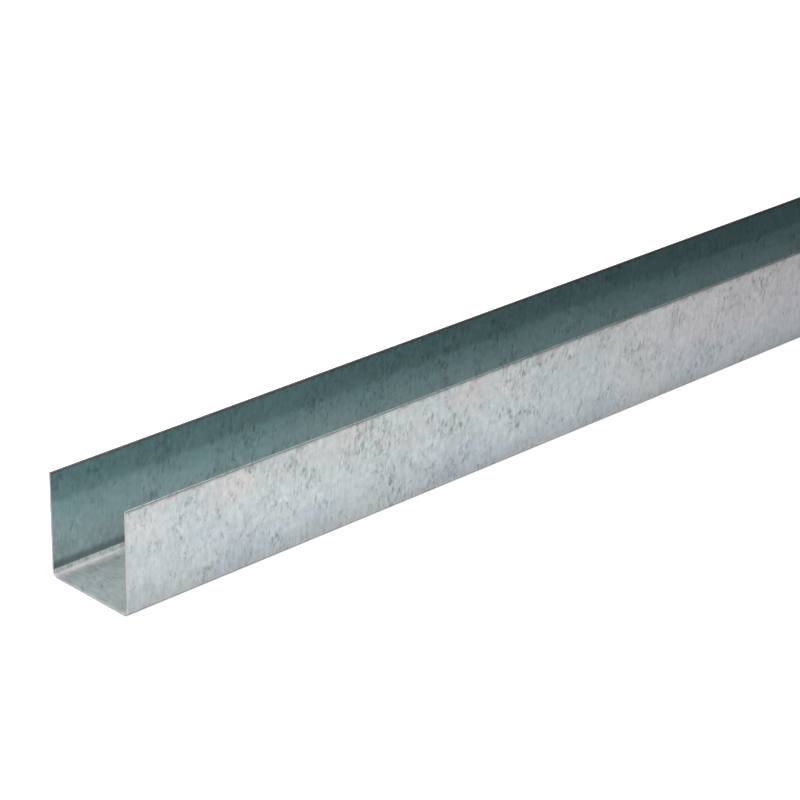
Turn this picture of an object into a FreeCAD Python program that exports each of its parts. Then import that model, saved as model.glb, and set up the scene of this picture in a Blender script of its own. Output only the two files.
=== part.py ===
# Drywall ceiling track: a U-shaped channel cold-rolled from one strip of galvanised steel.
# It lies on its web with the open side up. X runs along the length, Y across the web, Z up.
# The origin is the middle of the web's outer face. Sizes are in millimetres.

import FreeCAD
import Part
import Sketcher
import math
import os

# Name, value and meaning of each driving dimension.
driving_dimensions = [
    ("track_length", 3000.0, "length the track is sold in"),
    ("web_width", 28.0, "outer width across the web"),
    ("flange_height", 27.0, "outer height of each flange, web included"),
    ("sheet_thickness", 0.6, "galvanised steel strip"),
    ("bend_radius", 1.2, "inside radius of both bends"),
    ("edge_round", 0.2, "rounding left on the flange edges when the strip is slit"),
]

# The rounding on one corner of a slit edge takes at most this share of the sheet.
edge_round_share = 0.45

# Sketch point numbers from one up: the two ends of a line or arc, then the centre of an arc.
start_point, end_point, centre_point = range(1, 4)
sketch_origin = (-1, start_point)

# The section's corners in turn, anticlockwise, and the straight run that follows each one.
corner_names = [
    "right_outer_bend",
    "right_outer_edge",
    "right_inner_edge",
    "right_inner_bend",
    "left_inner_bend",
    "left_inner_edge",
    "left_outer_edge",
    "left_outer_bend",
]
run_names = [
    "right_outer_face",
    "right_rim",
    "right_inner_face",
    "web_inner_face",
    "left_inner_face",
    "left_rim",
    "left_outer_face",
    "web_outer_face",
]
level_runs = ["right_rim", "web_inner_face", "left_rim", "web_outer_face"]


def make_dimensions(doc):
    sheet = doc.addObject("Spreadsheet::Sheet", "Dimensions")
    for row, (name, value, meaning) in enumerate(driving_dimensions, start=1):
        sheet.set(f"A{row}", name)
        sheet.set(f"B{row}", str(value))
        sheet.set(f"C{row}", meaning)
        sheet.setAlias(f"B{row}", name)
    doc.recompute()
    return sheet


def section_corners(sheet):
    """Each corner as a point across and up the section, with the radius that rounds it."""
    outer = sheet.web_width / 2
    inner = outer - sheet.sheet_thickness
    rim = sheet.flange_height
    floor = sheet.sheet_thickness
    bend = sheet.bend_radius
    edge = min(sheet.edge_round, edge_round_share * sheet.sheet_thickness)
    right = [
        (FreeCAD.Vector(outer, 0), bend + sheet.sheet_thickness),
        (FreeCAD.Vector(outer, rim), edge),
        (FreeCAD.Vector(inner, rim), edge),
        (FreeCAD.Vector(inner, floor), bend),
    ]
    left = [(FreeCAD.Vector(-point.x, point.y), radius) for point, radius in reversed(right)]
    return right + left


def draw_section(sketch, corners):
    """Draw the runs and rounded corners, joined tangent to one another in one closed loop."""
    points = [point for point, radius in corners]
    following = points[1:] + points[:1]
    directions = [(ahead - point).normalize() for point, ahead in zip(points, following)]
    lines = {}
    arcs = {}
    for index, (point, radius) in enumerate(corners):
        next_point, next_radius = corners[(index + 1) % len(corners)]
        run_start = point + directions[index] * radius
        run_end = next_point - directions[index] * next_radius
        lines[run_names[index]] = sketch.addGeometry(Part.LineSegment(run_start, run_end), False)

    for index, (point, radius) in enumerate(corners):
        arriving = directions[index - 1]
        leaving = directions[index]
        turns_left = arriving.cross(leaving).z > 0
        # An arc is drawn anticlockwise, whichever way the loop passes along it.
        first_spoke = leaving * -1 if turns_left else arriving
        start_angle = math.atan2(first_spoke.y, first_spoke.x)
        centre = point + (leaving - arriving) * radius
        circle = Part.Circle(centre, FreeCAD.Vector(0, 0, 1), radius)
        arc = sketch.addGeometry(Part.ArcOfCircle(circle, start_angle, start_angle + math.pi / 2), False)
        arcs[corner_names[index]] = arc
        entry = start_point if turns_left else end_point
        departure = end_point if turns_left else start_point
        run_before = lines[run_names[index - 1]]
        run_after = lines[run_names[index]]
        sketch.addConstraint(Sketcher.Constraint("Tangent", run_before, end_point, arc, entry))
        sketch.addConstraint(Sketcher.Constraint("Tangent", run_after, start_point, arc, departure))

    for name, line in lines.items():
        direction = "Horizontal" if name in level_runs else "Vertical"
        sketch.addConstraint(Sketcher.Constraint(direction, line))
    return lines, arcs


def bind(sketch, constraint, name, expression):
    """Add a dimension to the sketch and bind it to the sheet."""
    number = sketch.addConstraint(constraint)
    sketch.renameConstraint(number, name)
    sketch.setExpression(f"Constraints.{name}", expression)


def dimension_section(sketch, lines, arcs, sheet):
    """Fix every size. Each bend's two arcs share a centre, so the sheet keeps its thickness there."""
    web = lines["web_outer_face"]
    left_face = lines["left_outer_face"]
    right_face = lines["right_outer_face"]
    left_rim = lines["left_rim"]
    right_rim = lines["right_rim"]
    left_inner = arcs["left_inner_bend"]
    left_outer = arcs["left_outer_bend"]
    right_inner = arcs["right_inner_bend"]
    right_outer = arcs["right_outer_bend"]
    first_edge, *other_edges = [arc for name, arc in arcs.items() if name.endswith("_edge")]

    sketch.addConstraint([
        Sketcher.Constraint("Symmetric", web, start_point, web, end_point, *sketch_origin),
        Sketcher.Constraint("Coincident", right_inner, centre_point, right_outer, centre_point),
        Sketcher.Constraint("Vertical", left_inner, centre_point, left_outer, centre_point),
        Sketcher.Constraint("Equal", right_inner, left_inner),
        Sketcher.Constraint("Equal", right_outer, left_outer),
        Sketcher.Constraint("Horizontal", right_rim, end_point, left_rim, start_point),
    ])
    sketch.addConstraint([Sketcher.Constraint("Equal", first_edge, edge) for edge in other_edges])

    width = Sketcher.Constraint("DistanceX", left_face, end_point, right_face, start_point, sheet.web_width)
    height = Sketcher.Constraint("DistanceY", *sketch_origin, right_rim, start_point, sheet.flange_height)
    inner_radius = Sketcher.Constraint("Radius", right_inner, sheet.bend_radius)
    outer_radius = Sketcher.Constraint("Radius", right_outer, sheet.bend_radius + sheet.sheet_thickness)
    edge_radius = Sketcher.Constraint("Radius", first_edge, sheet.edge_round)
    edge_limit = f"min(Dimensions.edge_round; {edge_round_share} * Dimensions.sheet_thickness)"
    bind(sketch, width, "web_width", "Dimensions.web_width")
    bind(sketch, height, "flange_height", "Dimensions.flange_height")
    bind(sketch, inner_radius, "inner_bend_radius", "Dimensions.bend_radius")
    bind(sketch, outer_radius, "outer_bend_radius", "Dimensions.bend_radius + Dimensions.sheet_thickness")
    bind(sketch, edge_radius, "edge_radius", edge_limit)


def origin_plane(body, role):
    return next(plane for plane in body.Origin.OriginFeatures if plane.Role == role)


def make_track(doc, sheet):
    """The whole track: its section on the YZ plane, rolled to length equally to both sides of it."""
    body = doc.addObject("PartDesign::Body", "Track")
    body.Label = "ceiling_track"
    section = body.newObject("Sketcher::SketchObject", "Section")
    section.AttachmentSupport = [(origin_plane(body, "YZ_Plane"), "")]
    section.MapMode = "FlatFace"
    lines, arcs = draw_section(section, section_corners(sheet))
    dimension_section(section, lines, arcs, sheet)
    doc.recompute()

    rolled = body.newObject("PartDesign::Pad", "Rolled_length")
    rolled.Profile = section
    rolled.SideType = "Symmetric"
    rolled.setExpression("Length", "Dimensions.track_length")
    section.Visibility = False
    doc.recompute()
    if not section.FullyConstrained:
        raise RuntimeError("the section sketch is not fully constrained")
    return body


def check_document(doc, bodies):
    failed = [item.Label for item in doc.Objects if "Invalid" in item.State or "Error" in item.State]
    if failed:
        raise RuntimeError(f"failed objects: {failed}")
    for body in bodies:
        if body.Shape.isNull() or not body.Shape.isValid() or len(body.Shape.Solids) != 1:
            raise RuntimeError(f"{body.Label} is not one valid solid")


def export_parts(bodies):
    os.makedirs("parts", exist_ok=True)
    for body in bodies:
        body.Shape.exportStep(f"parts/{body.Label}.step")
        box = body.Shape.BoundBox
        print(f"{body.Label}: {box.XLength:.2f} x {box.YLength:.2f} x {box.ZLength:.2f} mm")
        print(f"{body.Label}: {body.Shape.Volume / 1000:.2f} cm3 of steel")


document = FreeCAD.newDocument("CeilingTrack")
dimensions = make_dimensions(document)
pieces = [make_track(document, dimensions)]
check_document(document, pieces)
export_parts(pieces)
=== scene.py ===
import bpy
import math
import random
from mathutils import Matrix, Vector


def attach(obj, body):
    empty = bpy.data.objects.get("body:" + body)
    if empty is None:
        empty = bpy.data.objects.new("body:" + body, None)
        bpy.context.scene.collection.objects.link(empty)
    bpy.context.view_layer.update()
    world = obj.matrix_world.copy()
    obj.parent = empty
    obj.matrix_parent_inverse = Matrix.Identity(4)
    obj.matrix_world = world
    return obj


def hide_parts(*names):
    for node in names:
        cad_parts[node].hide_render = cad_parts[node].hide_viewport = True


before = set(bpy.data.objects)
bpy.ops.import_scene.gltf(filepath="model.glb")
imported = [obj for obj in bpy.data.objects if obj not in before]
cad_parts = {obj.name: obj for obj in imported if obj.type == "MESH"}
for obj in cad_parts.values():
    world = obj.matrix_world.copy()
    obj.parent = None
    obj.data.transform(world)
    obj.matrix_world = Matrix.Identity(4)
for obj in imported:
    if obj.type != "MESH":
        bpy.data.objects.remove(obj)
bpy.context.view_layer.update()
scene = bpy.context.scene
print("frame loaded")

# rolled sheet in metres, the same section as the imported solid
trackSheet = {
    "length": 3.0,
    "webWidth": 0.028,
    "flangeHeight": 0.027,
    "thickness": 0.0006,
    "bendRadius": 0.0012,           # inside of both bends
    "edgeRound": 0.0002,            # slit flange edges
    "bendSteps": 12,
    "edgeSteps": 4,
    "flangeSteps": 8,
    "webSteps": 8,
    "support": 0.00005,             # from the end of a flat run to the point beside it
    "ringSpacing": 0.0075,          # along the length
    "endRings": [0.0, 0.00004, 0.0001, 0.0002, 0.0006, 0.002],
    "flangeWave": 0.00006,          # how far the flanges wander inwards at the rim
    "flangePower": 1.5,             # and how that grows up the flange
    "webWave": 0.00004,
    "waveLengths": (0.11, 0.6),
    "waveCount": 4,
    "endRollover": 0.00007,         # skin pulled in where the ends are sheared
    "rolloverLength": 0.0002,
    "rolloverSpared": 0.6,          # share of it that the inside is spared
    "sharpAngle": 38,
    "seed": 11,
    "patternLength": 0.375,         # the zinc pattern repeats after this much of the track
}
materialSlots = {"zinc": 0, "slit": 1, "sheared": 2}


def straightRun(start, end, steps):
    # points of a flat run, with one close to each end so that the bends stay crisp
    support = math.copysign(trackSheet["support"], end - start)
    inside = [start + (end - start) * i / steps for i in range(1, steps)]
    return [start, start + support] + inside + [end - support, end]


def midSheet():
    # middle of the sheet as y, z, outward normal y, z and share of bend, front rim to rear rim
    half = trackSheet["webWidth"] / 2
    skin = trackSheet["thickness"] / 2
    outer = trackSheet["bendRadius"] + trackSheet["thickness"]
    middle = outer - skin
    steps = trackSheet["bendSteps"]
    top = trackSheet["flangeHeight"] - trackSheet["edgeRound"]
    front = [(skin - half, z, -1.0, 0.0, 0.0) for z in straightRun(top, outer, trackSheet["flangeSteps"])]
    for i in range(1, steps):
        turn = math.pi * (1 + i / steps / 2)
        ny, nz = math.cos(turn), math.sin(turn)
        share = math.sin(i / steps * math.pi)
        front.append((outer - half + middle * ny, outer + middle * nz, ny, nz, share))
    flat = straightRun(outer - half, half - outer, trackSheet["webSteps"])
    web = [(y, skin, 0.0, -1.0, 0.0) for y in flat]
    rear = [(-y, z, -ny, nz, share) for y, z, ny, nz, share in reversed(front)]
    return front + web + rear


def slitEdge(side):
    # rounded slit edge from the outside over to the inside, as y, z
    half = trackSheet["webWidth"] / 2
    r = trackSheet["edgeRound"]
    steps = trackSheet["edgeSteps"]
    level = trackSheet["flangeHeight"] - r
    innerCentre = half - trackSheet["thickness"] + r
    outerCorner = [(half - r, i / steps * math.pi / 2) for i in range(1, steps + 1)]
    innerCorner = [(innerCentre, (1 + i / steps) * math.pi / 2) for i in range(steps)]
    corners = outerCorner + innerCorner
    return [(side * (y + r * math.cos(a)), level + r * math.sin(a)) for y, a in corners]


def stripLoop():
    # once round the sheet: outside, rear slit edge, inside, front slit edge
    stations = midSheet()
    skin = trackSheet["thickness"] / 2
    along = [0.0]
    for a, b in zip(stations, stations[1:]):
        along.append(along[-1] + math.dist(a[:2], b[:2]))
    width = along[-1]
    rear = slitEdge(1)
    front = slitEdge(-1)[::-1]
    edgeStep = trackSheet["thickness"] / (len(rear) + 1)
    loop = []
    for (y, z, ny, nz, share), s in zip(stations, along):
        loop.append({"at": (y + ny * skin, z + nz * skin), "normal": (ny, nz), "v": s,
                     "bend": share, "inside": 0.0, "edge": min(s, width - s), "slit": False})
    for i, at in enumerate(rear):
        loop.append({"at": at, "normal": (0.0, 1.0), "v": width + edgeStep * (i + 1),
                     "bend": 0.0, "inside": 0.0, "edge": 0.0, "slit": True})
    lap = width + trackSheet["thickness"]
    for (y, z, ny, nz, share), s in reversed(list(zip(stations, along))):
        loop.append({"at": (y - ny * skin, z - nz * skin), "normal": (-ny, -nz), "v": lap + width - s,
                     "bend": share, "inside": 1.0, "edge": min(s, width - s), "slit": False})
    # the front slit edge carries a falling inside share, which the slit material uses to paint that edge lit
    # while the rear edge stays in painted shade
    for i, at in enumerate(front):
        loop.append({"at": at, "normal": (0.0, 1.0), "v": lap + width + edgeStep * (i + 1),
                     "bend": 0.0, "inside": 1 - (i + 1) / (len(front) + 1), "edge": 0.0, "slit": True})
    return loop, len(stations), len(rear), 2 * lap


def ringPlaces():
    # x of each ring: close together at the sheared ends, even between them
    half = trackSheet["length"] / 2
    spacing = trackSheet["ringSpacing"]
    ends = trackSheet["endRings"]
    inside = [spacing * i - half for i in range(1, round(trackSheet["length"] / spacing))]
    return [d - half for d in ends] + inside + [half - d for d in reversed(ends)]


def slowWave(rng):
    # a few long waves added up, between 0 and 1
    count = trackSheet["waveCount"]
    waves = [(rng.uniform(*trackSheet["waveLengths"]), rng.uniform(0, 2 * math.pi)) for _ in range(count)]
    return lambda x: 0.5 + 0.5 / count * sum(math.sin(2 * math.pi * x / w + phase) for w, phase in waves)


def rolledPoint(p, x, frontWave, rearWave, webWave):
    # a point of the loop at x, with the small wander of rolled sheet and the pulled-in skin at the ends
    y, z = p["at"]
    ny, nz = p["normal"]
    bend = trackSheet["bendRadius"] + trackSheet["thickness"]
    climb = max(0.0, (z - bend) / (trackSheet["flangeHeight"] - bend)) ** trackSheet["flangePower"]
    wander = trackSheet["flangeWave"] * climb * (frontWave(x) if y < 0 else rearWave(x))
    across = max(0.0, 1 - (y / (trackSheet["webWidth"] / 2 - bend)) ** 2)
    lift = trackSheet["webWave"] * webWave(x) * across if z < bend else 0.0
    fromEnd = trackSheet["length"] / 2 - abs(x)
    nearEnd = max(0.0, 1 - fromEnd / trackSheet["rolloverLength"]) ** 2
    pull = trackSheet["endRollover"] * nearEnd * (1 - trackSheet["rolloverSpared"] * p["inside"])
    return (x, y - math.copysign(wander, y) - ny * pull, z + lift - nz * pull)


# the bake map holds one pattern length in rows, with the sheared ends above them
bakeMap = {
    "rows": 2,
    "margin": 0.005,
    "rowStep": 0.48,
    "rowHeight": 0.465,
    "endLevels": (0.97, 0.985),
    "endHeight": 0.01,
}


def sideFaces(loop, places, lapWidth):
    # faces between the rings, each with its slot and its corners in both maps
    count = len(loop)
    half = trackSheet["length"] / 2
    margin = bakeMap["margin"]
    rowLength = trackSheet["patternLength"] / bakeMap["rows"]
    sides = []
    for r, (x0, x1) in enumerate(zip(places, places[1:])):
        piece = int(((x0 + x1) / 2 + half) / rowLength)
        rowStart = piece * rowLength - half
        rowLevel = margin + bakeMap["rowStep"] * (piece % bakeMap["rows"])
        for i in range(count):
            j = (i + 1) % count
            v0 = loop[i]["v"]
            v1 = loop[j]["v"] if j else lapWidth
            corners = [(x0, v0), (x0, v1), (x1, v1), (x1, v0)]
            sides.append({
                "face": (r * count + i, r * count + j, (r + 1) * count + j, (r + 1) * count + i),
                "slot": materialSlots["slit" if loop[i]["slit"] or loop[j]["slit"] else "zinc"],
                "strip": corners,
                "OFBake": [(margin + (1 - 2 * margin) * (x - rowStart) / rowLength,
                            rowLevel + bakeMap["rowHeight"] * v / lapWidth) for x, v in corners],
            })
    return sides


def endCaps(stations, slit):
    # sheared end faces: a quad for each step along the sheet and one face at each slit edge
    inner = [2 * stations + slit - 1 - i for i in range(stations)]
    caps = [(i, i + 1, inner[i + 1], inner[i]) for i in range(stations - 1)]
    caps.append(tuple(range(stations - 1, stations + slit + 1)))
    caps.append(tuple(range(2 * stations + slit - 1, 2 * (stations + slit))) + (0,))
    return caps


def endFaces(loop, places, lapWidth, caps):
    # both sheared ends, in the same form as the side faces
    ends = []
    for ring, level, order in zip((0, len(places) - 1), bakeMap["endLevels"], (-1, 1)):
        for cap in caps:
            corners = [loop[c] for c in cap[::order]]
            ends.append({
                "face": tuple(ring * len(loop) + c for c in cap[::order]),
                "slot": materialSlots["sheared"],
                "strip": [(places[ring] + p["inside"] * trackSheet["thickness"], p["v"]) for p in corners],
                "OFBake": [(p["v"] / lapWidth, level + bakeMap["endHeight"] * p["inside"]) for p in corners],
            })
    return ends


def buildTrack():
    rng = random.Random(trackSheet["seed"])
    waves = [slowWave(rng) for _ in range(3)]
    loop, stations, slit, lapWidth = stripLoop()
    places = ringPlaces()
    points = [rolledPoint(p, x, *waves) for x in places for p in loop]
    faces = sideFaces(loop, places, lapWidth) + endFaces(loop, places, lapWidth, endCaps(stations, slit))

    mesh = bpy.data.meshes.new("ceiling_track_sheet")
    mesh.from_pydata(points, [], [f["face"] for f in faces])
    mesh.polygons.foreach_set("material_index", [f["slot"] for f in faces])
    mesh.polygons.foreach_set("use_smooth", [True] * len(faces))
    for name in ("strip", "OFBake"):
        layer = mesh.uv_layers.new(name=name, do_init=False)
        layer.uv.foreach_set("vector", [number for f in faces for spot in f[name] for number in spot])
    for name in ("bend", "inside", "edge"):
        values = mesh.attributes.new(name, "FLOAT", "POINT")
        values.data.foreach_set("value", [p[name] for _ in places for p in loop])
    mesh.set_sharp_from_angle(angle=math.radians(trackSheet["sharpAngle"]))
    mesh.update()
    print("track mesh:", len(mesh.vertices), "points,", len(mesh.polygons), "faces")
    return mesh


track = bpy.data.objects.new("ceiling_track_sheet", buildTrack())
scene.collection.objects.link(track)


# node helpers

def addNode(tree, kind, settings=None, inputs=None):
    # inputs take a plain value or a socket to link from
    made = tree.nodes.new(kind)
    for name, value in (settings or {}).items():
        setattr(made, name, value)
    for name, value in (inputs or {}).items():
        if isinstance(value, bpy.types.NodeSocket):
            tree.links.new(value, made.inputs[name])
        else:
            made.inputs[name].default_value = value
    return made


def calc(tree, operation, first, *others):
    # the same operation for one value after another
    for other in others:
        first = addNode(tree, "ShaderNodeMath", {"operation": operation}, {0: first, 1: other}).outputs[0]
    return first


def plus(tree, *values):
    return calc(tree, "ADD", *values)


def times(tree, *values):
    return calc(tree, "MULTIPLY", *values)


def formula(tree, operation, value):
    return addNode(tree, "ShaderNodeMath", {"operation": operation}, {0: value}).outputs[0]


def along(tree, place, direction):
    made = addNode(tree, "ShaderNodeVectorMath", {"operation": "DOT_PRODUCT"}, {0: place, 1: direction})
    return made.outputs["Value"]


def ramp(tree, value, span, ends=(0.0, 1.0)):
    # goes smoothly from one end to the other while the value crosses the span
    return addNode(tree, "ShaderNodeMapRange", {"interpolation_type": "SMOOTHSTEP"}, {
        "Value": value, "From Min": span[0], "From Max": span[1],
        "To Min": ends[0], "To Max": ends[1],
    }).outputs[0]


def tint(tree, share, a, b, blend="MIX"):
    # sockets 6 and 7 are the Mix node's two colours, and output 2 its result
    made = addNode(tree, "ShaderNodeMix", {"data_type": "RGBA", "blend_type": blend}, {0: share})
    for socket, value in ((made.inputs[6], a), (made.inputs[7], b)):
        if isinstance(value, bpy.types.NodeSocket):
            tree.links.new(value, socket)
        else:
            socket.default_value = (*value, 1.0)
    return made.outputs[2]


patternTurn = 2 * math.pi / trackSheet["patternLength"]


def wrapped(tree, strip, lean):
    # the strip's length bent round into a ring of radius 1, so that a pattern on it repeats
    place = addNode(tree, "ShaderNodeSeparateXYZ", None, {0: strip}).outputs
    leaned = plus(tree, place["X"], times(tree, place["Y"], math.tan(math.radians(lean))))
    angle = times(tree, leaned, patternTurn)
    return addNode(tree, "ShaderNodeCombineXYZ", None, {
        "X": formula(tree, "COSINE", angle), "Y": formula(tree, "SINE", angle),
        "Z": times(tree, place["Y"], patternTurn),
    }).outputs[0]


def grain(tree, place, size, shift, detail=2.0, roughness=0.55):
    # noise of this size in metres along and across the strip
    sized = addNode(tree, "ShaderNodeMapping", {"vector_type": "TEXTURE"}, {
        "Vector": place, "Location": (0.0, 0.0, shift),
        "Scale": (size[0] * patternTurn, size[0] * patternTurn, size[1] * patternTurn),
    }).outputs[0]
    return addNode(tree, "ShaderNodeTexNoise", None, {
        "Vector": sized, "Scale": 1.0, "Detail": detail, "Roughness": roughness,
    }).outputs[0]


def newGroup(name, inputs, outputs):
    group = bpy.data.node_groups.new(name, "ShaderNodeTree")
    for title, kind in inputs.items():
        group.interface.new_socket(title, in_out="INPUT", socket_type=kind)
    for title in outputs:
        group.interface.new_socket(title, in_out="OUTPUT", socket_type="NodeSocketFloat")
    return group, group.nodes.new("NodeGroupInput").outputs, group.nodes.new("NodeGroupOutput").inputs


# zinc crystals: soft dark spots and thin strokes drawn out across the strip, mottling and fine streaks
spangleLook = {
    "slants": {"upright": 2, "leaning": 17, "swept": -14},      # degrees
    "crowd": {"size": (0.009, 0.007), "shift": 47.2, "detail": 3.0},
    "crowdSpan": (0.34, 0.68),
    "crowdEnds": (-0.055, 0.068),
    "thickSide": (-0.35, 0.94, 0.0),        # where in each pattern length the marks crowd most
    "thickShare": 0.02,
    "marks": {"detail": 3.5, "roughness": 0.58},
    "markSpan": (0.01, 0.24),               # above each mark's own level
    "flecks": [
        {"slant": "upright", "size": (0.0017, 0.0025), "level": 0.575, "shift": 5.3},
        {"slant": "leaning", "size": (0.0009, 0.0029), "level": 0.58, "shift": 8.9},
        {"slant": "upright", "size": (0.0008, 0.0022), "level": 0.58, "shift": 11.2},
    ],
    "glint": {"slant": "swept", "size": (0.0010, 0.0030), "level": 0.60, "shift": 14.6},
    "mottle": {"size": (0.0015, 0.0020), "shift": 1.7, "detail": 5.0},
    "streak": {"size": (0.0005, 0.005), "shift": 2.3},
}


def markLayer(tree, places, mark, crowd):
    # marks of one slant, where rough noise passes a level that drops in crowded places
    rough = grain(tree, places[mark["slant"]], mark["size"], mark["shift"], **spangleLook["marks"])
    span = [mark["level"] + step for step in spangleLook["markSpan"]]
    return ramp(tree, plus(tree, rough, crowd), span)


def spangleGroup():
    look = spangleLook
    inputs = {"Strip": "NodeSocketVector", "Crowding": "NodeSocketFloat"}
    group, given, gives = newGroup("zincSpangle", inputs, ["Fleck", "Glint", "Mottle", "Streak"])
    places = {name: wrapped(group, given["Strip"], lean) for name, lean in look["slants"].items()}
    upright = places["upright"]
    thick = times(group, along(group, upright, look["thickSide"]), look["thickShare"])
    crowd = ramp(group, grain(group, upright, **look["crowd"]), look["crowdSpan"], look["crowdEnds"])
    crowd = plus(group, crowd, thick, given["Crowding"])
    flecks = calc(group, "MAXIMUM", *[markLayer(group, places, mark, crowd) for mark in look["flecks"]])
    group.links.new(flecks, gives["Fleck"])
    group.links.new(markLayer(group, places, look["glint"], crowd), gives["Glint"])
    group.links.new(grain(group, upright, **look["mottle"]), gives["Mottle"])
    group.links.new(grain(group, upright, **look["streak"]), gives["Streak"])
    return group


# slow drifts of tone over the zinc, and smudges for the rims
cloudLook = {
    "cool": {"size": (0.03, 0.012), "shift": 4.4},
    "coolSpan": (0.4, 0.62),
    "warm": {"size": (0.012, 0.007), "shift": 6.1},
    "warmSpan": (0.42, 0.65),
    "tone": {"size": (0.012, 0.009), "shift": 7.7},
    "smudge": {"size": (0.0035, 0.002), "shift": 9.4, "detail": 3.0},
    "blushSide": (-0.76, -0.65, 0.0),       # where in each pattern length the blush lies
    "blushSpan": (0.3, 0.95),
}


def cloudGroup():
    look = cloudLook
    outputs = ["Cool", "Warm", "Tone", "Smudge", "Blush"]
    group, given, gives = newGroup("zincClouds", {"Strip": "NodeSocketVector"}, outputs)
    place = wrapped(group, given["Strip"], 0.0)
    group.links.new(ramp(group, grain(group, place, **look["cool"]), look["coolSpan"]), gives["Cool"])
    group.links.new(ramp(group, grain(group, place, **look["warm"]), look["warmSpan"]), gives["Warm"])
    group.links.new(grain(group, place, **look["tone"]), gives["Tone"])
    group.links.new(grain(group, place, **look["smudge"]), gives["Smudge"])
    group.links.new(ramp(group, along(group, place, look["blushSide"]), look["blushSpan"]), gives["Blush"])
    return group


spangle = spangleGroup()
clouds = cloudGroup()
print("node groups made")


def placeGroup(tree, group, inputs):
    return addNode(tree, "ShaderNodeGroup", {"node_tree": group}, inputs).outputs


def startMaterial(name):
    material = bpy.data.materials.new(name)
    material.use_nodes = True
    tree = material.node_tree
    shader = tree.nodes["Principled BSDF"]
    strip = addNode(tree, "ShaderNodeUVMap", {"uv_map": "strip"}).outputs[0]
    return material, tree, shader, strip


def meshValue(tree, name):
    return addNode(tree, "ShaderNodeAttribute", {"attribute_name": name}).outputs["Fac"]


def bySkin(tree, inside, shares):
    # one share on the outside of the sheet and another on the inside
    return ramp(tree, inside, (0.0, 1.0), shares)


# spans are distances from the nearest slit edge along the sheet, in metres, where no note says otherwise
zincLook = {
    "insideCrowding": 0.018,                    # more flecks on the inside
    "rimCrowding": 0.014,                       # and towards the rims
    "rimCrowdSpan": (0.005, 0.015),
    "colour": (0.60, 0.645, 0.655),
    "coolColour": (0.56, 0.618, 0.655),
    "coolSpan": (0.004, 0.022),
    "coolLow": 0.7,
    "coolMask": (0.6, 1.6),                     # of the two cool masks added up
    "warmColour": (0.665, 0.64, 0.635),
    "warmSpan": (0.0015, 0.012),
    "warmShare": 0.8,
    "blushColour": (0.655, 0.63, 0.665),
    "blushSpan": (0.012, 0.021),
    "blushShares": (0.7, 0.1),
    "insideShadeColour": (0.465, 0.65, 0.667),       # flanges on the inside, painted darker and teal for the shade of light bounced between the flanges
    "lowerShadeColour": (0.51, 0.59, 0.59),          # and towards the bends, with less of that painted shade
    "lowerSpan": (0.008, 0.021),
    "lowerShare": 0.8,
    "lowerDrift": 0.2,
    "webColour": (0.60, 0.64, 0.64),            # web on the inside, filmed over
    "webSpan": (0.0255, 0.0285),
    "webMetallic": 0.6,
    "creaseShadeColour": (0.225, 0.25, 0.255),       # painted shade in the crease above the inner bends
    "creaseShadeSpan": (0.0219, 0.0238),
    "creaseShadeShare": 0.9,
    "burnishedHighlightColour": (0.56, 0.555, 0.55),     # rubbed by the rolls in and beside the bends, with a painted highlight there
    "bendHighlightColour": (0.95, 0.945, 0.94),        # painted highlight where the bend leaves the flange
    "bendHighlightSpan": (0.0253, 0.0264),
    "bendStart": (0.0246, 0.0250),
    "bendEnd": (0.0275, 0.0285),
    "wornAndHighlitMottle": (0.3, 0.5),                   # of the mottle
    "wornAndHighlitShares": (0.5, 1.0),
    "outerBend": 0.7,
    "level": 0.485,                             # brightness before the crystals add to it
    "mottleShare": 0.60,
    "streakShare": 0.22,
    "toneShare": 0.24,
    "glintShare": 0.22,
    "sheenStart": (0.0085, 0.0105),             # paler band below the shaded top of the inner flanges
    "sheenEnd": (0.012, 0.022),
    "sheenShare": 0.24,
    "sheenWander": 0.004,
    "fleckColour": (0.245, 0.275, 0.28),
    # flecks on the inside take the teal of the painted shade
    "insideShadeFleck": (0.225, 0.305, 0.325),
    "fleckShares": (0.85, 0.7),                 # outside, inside
    "smudgeColour": (0.43, 0.365, 0.345),       # first rust beside the slit edges
    "smudgeSpan": (0.0003, 0.003),
    "smudgeEnds": (0.1, -0.4),
    "smudgeMask": (0.52, 0.72),                 # of the smudge noise
    "smudgeShares": (0.62, 0.3),                # outside, inside
    "rimColour": (0.205, 0.235, 0.24),          # thin dark line beside the slit edges
    "rimSpan": (0.00022, 0.00055),
    "rimInside": 0.00012,                       # this much less of it on the inside
    "rimShares": (0.42, 0.9),                   # outside, inside
    "roughness": 0.27,
    "mottleRoughness": 0.06,
    "bendRoughness": 0.26,                      # more in the inner bends
    "bumpStrength": 0.12,
    "bumpDistance": 0.00003,
}


def outerColour(tree, look, fromEdge, drift):
    # cool towards the web, warm towards the rims, and a blush in places
    low = times(tree, ramp(tree, fromEdge, look["coolSpan"]), look["coolLow"])
    cool = ramp(tree, plus(tree, low, drift["Cool"]), look["coolMask"])
    colour = tint(tree, cool, look["colour"], look["coolColour"])
    warm = times(tree, drift["Warm"], ramp(tree, fromEdge, look["warmSpan"], (look["warmShare"], 0.0)))
    colour = tint(tree, warm, colour, look["warmColour"])
    blush = times(tree, drift["Blush"], ramp(tree, fromEdge, look["blushSpan"], look["blushShares"]))
    return tint(tree, blush, colour, look["blushColour"])


def innerShadeColour(tree, look, fromEdge, drift):
    # painted shade on the inner flanges: dark teal towards the rims, less of it towards the bends
    lower = ramp(tree, fromEdge, look["lowerSpan"], (0.0, look["lowerShare"]))
    lower = plus(tree, lower, times(tree, drift["Warm"], look["lowerDrift"]))
    return tint(tree, lower, look["insideShadeColour"], look["lowerShadeColour"])


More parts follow.
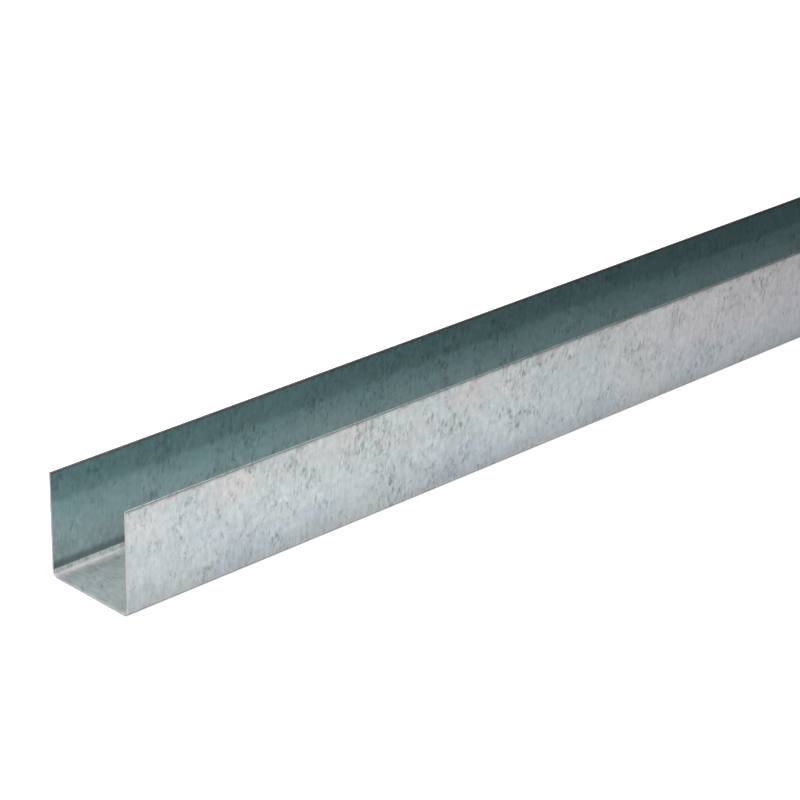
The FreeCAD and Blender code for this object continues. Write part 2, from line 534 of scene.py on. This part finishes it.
def addBends(tree, look, colour, fromEdge, inside, rolled, crystals):
    # painted shade in the crease above the inner bends, then the bends, rubbed by the rolls and painted with
    # a highlight
    creaseShadeEnd = ramp(tree, fromEdge, look["bendStart"], (look["creaseShadeShare"], 0.0))
    creaseShade = times(tree, ramp(tree, fromEdge, look["creaseShadeSpan"]), creaseShadeEnd, inside)
    colour = tint(tree, creaseShade, colour, look["creaseShadeColour"])
    # roll wear mottled over the bends, which also carries their painted highlight
    wornAndHighlit = times(tree, rolled, ramp(tree, crystals["Mottle"], look["wornAndHighlitMottle"], look["wornAndHighlitShares"]))
    wornAndHighlit = calc(tree, "MAXIMUM", wornAndHighlit, times(tree, meshValue(tree, "bend"), look["outerBend"]))
    bendHighlight = ramp(tree, fromEdge, look["bendHighlightSpan"])
    return tint(tree, wornAndHighlit, colour, tint(tree, bendHighlight, look["bendHighlightColour"], look["burnishedHighlightColour"]))


def addCrystals(tree, look, colour, fromEdge, inside, crystals, drift):
    # brightness from mottling, streaks and sheen, then the dark flecks
    wandered = plus(tree, fromEdge, times(tree, drift["Smudge"], look["sheenWander"]))
    sheenEnd = ramp(tree, fromEdge, look["sheenEnd"], (look["sheenShare"], 0.0))
    sheen = times(tree, ramp(tree, wandered, look["sheenStart"]), sheenEnd)
    level = plus(tree,
                 times(tree, crystals["Mottle"], look["mottleShare"]),
                 times(tree, crystals["Streak"], look["streakShare"]),
                 times(tree, drift["Tone"], look["toneShare"]),
                 look["level"],
                 times(tree, sheen, inside),
                 times(tree, crystals["Glint"], look["glintShare"]))
    shade = addNode(tree, "ShaderNodeCombineColor", None, {0: level, 1: level, 2: level}).outputs[0]
    colour = tint(tree, 1.0, colour, shade, "MULTIPLY")
    fleck = tint(tree, inside, look["fleckColour"], look["insideShadeFleck"])
    share = times(tree, crystals["Fleck"], bySkin(tree, inside, look["fleckShares"]))
    return tint(tree, share, colour, fleck)


def addRims(tree, look, colour, fromEdge, inside, drift):
    # smudges in places and a thin dark line all along the slit edges
    near = ramp(tree, fromEdge, look["smudgeSpan"], look["smudgeEnds"])
    smudged = ramp(tree, plus(tree, drift["Smudge"], near), look["smudgeMask"])
    smudged = times(tree, smudged, bySkin(tree, inside, look["smudgeShares"]))
    colour = tint(tree, smudged, colour, look["smudgeColour"])
    fromRimLine = plus(tree, fromEdge, times(tree, inside, look["rimInside"]))
    rimLine = times(tree, ramp(tree, fromRimLine, look["rimSpan"], (1.0, 0.0)),
                 bySkin(tree, inside, look["rimShares"]))
    return tint(tree, rimLine, colour, look["rimColour"])


def zincMaterial():
    look = zincLook
    material, tree, shader, strip = startMaterial("galvanisedZinc")
    fromEdge = meshValue(tree, "edge")
    inside = meshValue(tree, "inside")
    rimCrowd = ramp(tree, fromEdge, look["rimCrowdSpan"], (look["rimCrowding"], 0.0))
    crowding = plus(tree, times(tree, inside, look["insideCrowding"]), rimCrowd)
    crystals = placeGroup(tree, spangle, {"Strip": strip, "Crowding": crowding})
    drift = placeGroup(tree, clouds, {"Strip": strip})
    web = times(tree, inside, ramp(tree, fromEdge, look["webSpan"]))
    bendEnd = ramp(tree, fromEdge, look["bendEnd"], (1.0, 0.0))
    rolled = times(tree, inside, bendEnd, ramp(tree, fromEdge, look["bendStart"]))

    colour = outerColour(tree, look, fromEdge, drift)
    colour = tint(tree, inside, colour, innerShadeColour(tree, look, fromEdge, drift))
    colour = tint(tree, web, colour, look["webColour"])
    colour = addBends(tree, look, colour, fromEdge, inside, rolled, crystals)
    colour = addCrystals(tree, look, colour, fromEdge, inside, crystals, drift)
    colour = addRims(tree, look, colour, fromEdge, inside, drift)
    tree.links.new(colour, shader.inputs["Base Color"])

    rough = plus(tree, times(tree, crystals["Mottle"], look["mottleRoughness"]), look["roughness"],
                 times(tree, rolled, look["bendRoughness"]))
    tree.links.new(rough, shader.inputs["Roughness"])
    metallic = ramp(tree, web, (0.0, 1.0), (1.0, look["webMetallic"]))
    tree.links.new(metallic, shader.inputs["Metallic"])
    bump = addNode(tree, "ShaderNodeBump", None, {
        "Strength": look["bumpStrength"], "Distance": look["bumpDistance"], "Height": crystals["Streak"],
    })
    tree.links.new(bump.outputs[0], shader.inputs["Normal"])
    return material


slitLook = {
    "name": "slitEdge",
    "colour": (0.15, 0.155, 0.152),             # rear edge, in painted shade
    "rubbedAndLitColour": (0.40, 0.445, 0.45),        # front edge, painted lit
    "scarColour": (0.15, 0.15, 0.145),
    "roughness": (0.42, 0.54),
    "metallic": 0.5,
}
shearedLook = {
    "name": "shearedEnd",
    "colour": (0.55, 0.54, 0.535),
    "rubbedAndLitColour": (0.64, 0.63, 0.625),        # towards the inside
    "scarColour": (0.40, 0.385, 0.38),
    "roughness": (0.36, 0.48),
    "metallic": 0.9,
}
# marks that all cut faces share
cutMarks = {
    "crowding": 0.03,
    "rubbedAndLitSpan": (0.05, 0.3),
    "rubbedAndLitStreak": (0.3, 0.5),
    "scarShare": 0.4,
    "roughMottle": (0.3, 0.7),
}


def cutMaterial(look):
    material, tree, shader, strip = startMaterial(look["name"])
    crystals = placeGroup(tree, spangle, {"Strip": strip, "Crowding": cutMarks["crowding"]})
    # on the slit edges this paints the front edge lit against the shaded rear edge; on the sheared ends it
    # is the rubbed inner side
    rubbedAndLit = times(tree, ramp(tree, meshValue(tree, "inside"), cutMarks["rubbedAndLitSpan"]),
                   ramp(tree, crystals["Streak"], cutMarks["rubbedAndLitStreak"]))
    colour = tint(tree, rubbedAndLit, look["colour"], look["rubbedAndLitColour"])
    colour = tint(tree, times(tree, crystals["Fleck"], cutMarks["scarShare"]), colour, look["scarColour"])
    tree.links.new(colour, shader.inputs["Base Color"])
    rough = ramp(tree, crystals["Mottle"], cutMarks["roughMottle"], look["roughness"])
    tree.links.new(rough, shader.inputs["Roughness"])
    shader.inputs["Metallic"].default_value = look["metallic"]
    return material


# in the order of materialSlots
for material in (zincMaterial(), cutMaterial(slitLook), cutMaterial(shearedLook)):
    track.data.materials.append(material)
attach(track, "root")
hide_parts("ceiling_track")
print("materials made")


# camera read off the photograph: the near lower corner of the front flange is its anchor
photoView = {
    "azimuth": -44.338,
    "elevation": 24.336,
    "roll": 0.954,
    "focalPixels": 2965.5,
    "imageSize": 800,
    "anchor": (-1.5, -0.014, 0.0),
    "anchorPixel": (128.46, 618.71),
    "anchorDepth": 0.674,
    "sensorWidth": 36.0,
    "clip": (0.01, 100.0),
}


def addCamera():
    az, el, roll = (math.radians(photoView[k]) for k in ("azimuth", "elevation", "roll"))
    back = Vector((math.sin(az) * math.cos(el), -math.cos(az) * math.cos(el), math.sin(el)))
    level = (-back).cross(Vector((0, 0, 1))).normalized()
    rise = level.cross(-back)
    right = math.cos(roll) * level + math.sin(roll) * rise
    up = math.cos(roll) * rise - math.sin(roll) * level
    focal = photoView["focalPixels"]
    depth = photoView["anchorDepth"]
    middle = photoView["imageSize"] / 2
    aside = [(pixel - middle) / focal * depth for pixel in photoView["anchorPixel"]]
    place = Vector(photoView["anchor"]) + back * depth - right * aside[0] + up * aside[1]
    data = bpy.data.cameras.new("photoCamera")
    data.sensor_width = photoView["sensorWidth"]
    data.lens = focal / photoView["imageSize"] * data.sensor_width
    data.clip_start, data.clip_end = photoView["clip"]
    camera = bpy.data.objects.new("photoCamera", data)
    turned = Matrix((right, up, back)).transposed().to_4x4()
    camera.matrix_world = Matrix.Translation(place) @ turned
    scene.collection.objects.link(camera)
    scene.camera = camera


addCamera()
print("camera set")


# pale floor that reads white to the camera and keeps a soft shadow, with small lamps close to the track
studio = {
    "floorSize": 30.0,
    "floorDrop": 0.0002,                # keeps the floor clear of the web's underside
    "floorColour": (0.8, 0.8, 0.8),
    "floorGlow": 0.92,                  # what the camera sees besides the lit floor
    "shine": (0.02, 0.28),              # what the metal sees of it, at the end in view and beyond
    "shineSpan": (-1.52, -1.22),        # along the track
    "contactShade": 0.5,                # dimmer where the track touches it
    "contactWidth": 0.006,
    "world": 0.07,
    "lamps": [
        {"name": "nearLamp", "power": 0.88, "size": (0.3, 0.3), "spread": 180,
         "place": (-1.5, 0.0, 0.22), "aim": (-1.5, 0.0, 0.0)},          # over the end in view
        {"name": "backLamp", "power": 0.26, "size": (0.6, 0.08), "spread": 180,
         "place": (-1.0, 0.35, 0.258), "aim": (-1.0, 0.0, 0.027)},      # mirrored in the front slit edge
        {"name": "gapLamp", "power": 0.19, "size": (0.34, 0.3), "spread": 50,
         "place": (-0.9, 0.0, 0.3), "aim": (-0.9, 0.0, 0.0)},           # into the channel between two lamps
        {"name": "runLamp", "power": 4.3, "size": (2.3, 0.3), "spread": 180,
         "place": (0.4, 0.0, 0.3), "aim": (0.4, 0.0, 0.0)},             # over the rest of the track
    ],
}


def addFloor():
    half = studio["floorSize"] / 2
    corners = [(-half, -half, 0), (half, -half, 0), (half, half, 0), (-half, half, 0)]
    mesh = bpy.data.meshes.new("studio_floor")
    mesh.from_pydata(corners, [], [(0, 1, 2, 3)])
    floor = bpy.data.objects.new("studio_floor", mesh)
    floor.location.z = -studio["floorDrop"]
    scene.collection.objects.link(floor)
    material = bpy.data.materials.new("paleFloor")
    material.use_nodes = True
    tree = material.node_tree
    tree.nodes.clear()
    ray = addNode(tree, "ShaderNodeLightPath").outputs
    seen = calc(tree, "MAXIMUM", ray["Is Camera Ray"], ray["Is Transmission Ray"])
    toCamera = times(tree, seen, studio["floorGlow"])
    position = addNode(tree, "ShaderNodeNewGeometry").outputs["Position"]
    place = addNode(tree, "ShaderNodeSeparateXYZ", None, {0: position}).outputs
    shine = ramp(tree, place["X"], studio["shineSpan"], studio["shine"])
    wall = trackSheet["webWidth"] / 2
    contact = ramp(tree, formula(tree, "ABSOLUTE", place["Y"]), (wall, wall + studio["contactWidth"]),
                   (studio["contactShade"], 1.0))
    toMetal = times(tree, ray["Is Glossy Ray"], times(tree, shine, contact))
    strength = plus(tree, toCamera, toMetal)
    matt = addNode(tree, "ShaderNodeBsdfDiffuse", None, {"Color": (*studio["floorColour"], 1.0)})
    glow = addNode(tree, "ShaderNodeEmission", None, {"Color": (1, 1, 1, 1), "Strength": strength})
    both = addNode(tree, "ShaderNodeAddShader", None, {0: matt.outputs[0], 1: glow.outputs[0]})
    addNode(tree, "ShaderNodeOutputMaterial", None, {"Surface": both.outputs[0]})
    mesh.materials.append(material)


def addWorld():
    world = bpy.data.worlds.new("studioWorld")
    world.use_nodes = True
    tree = world.node_tree
    tree.nodes.clear()
    ray = addNode(tree, "ShaderNodeLightPath").outputs
    strength = ramp(tree, ray["Is Camera Ray"], (0.0, 1.0), (studio["world"], 1.0))
    glow = addNode(tree, "ShaderNodeBackground", None, {"Color": (1, 1, 1, 1), "Strength": strength})
    addNode(tree, "ShaderNodeOutputWorld", None, {"Surface": glow.outputs[0]})
    scene.world = world


def addLamp(lamp):
    data = bpy.data.lights.new(lamp["name"], "AREA")
    data.energy = lamp["power"]
    data.shape = "RECTANGLE"
    data.size, data.size_y = lamp["size"]
    data.spread = math.radians(lamp["spread"])
    holder = bpy.data.objects.new(lamp["name"], data)
    holder.location = lamp["place"]
    facing = Vector(lamp["aim"]) - Vector(lamp["place"])
    holder.rotation_euler = facing.to_track_quat("-Z", "Y").to_euler()
    scene.collection.objects.link(holder)


addFloor()
addWorld()
for lamp in studio["lamps"]:
    addLamp(lamp)
scene.view_settings.view_transform = "Standard"
print("studio lit")
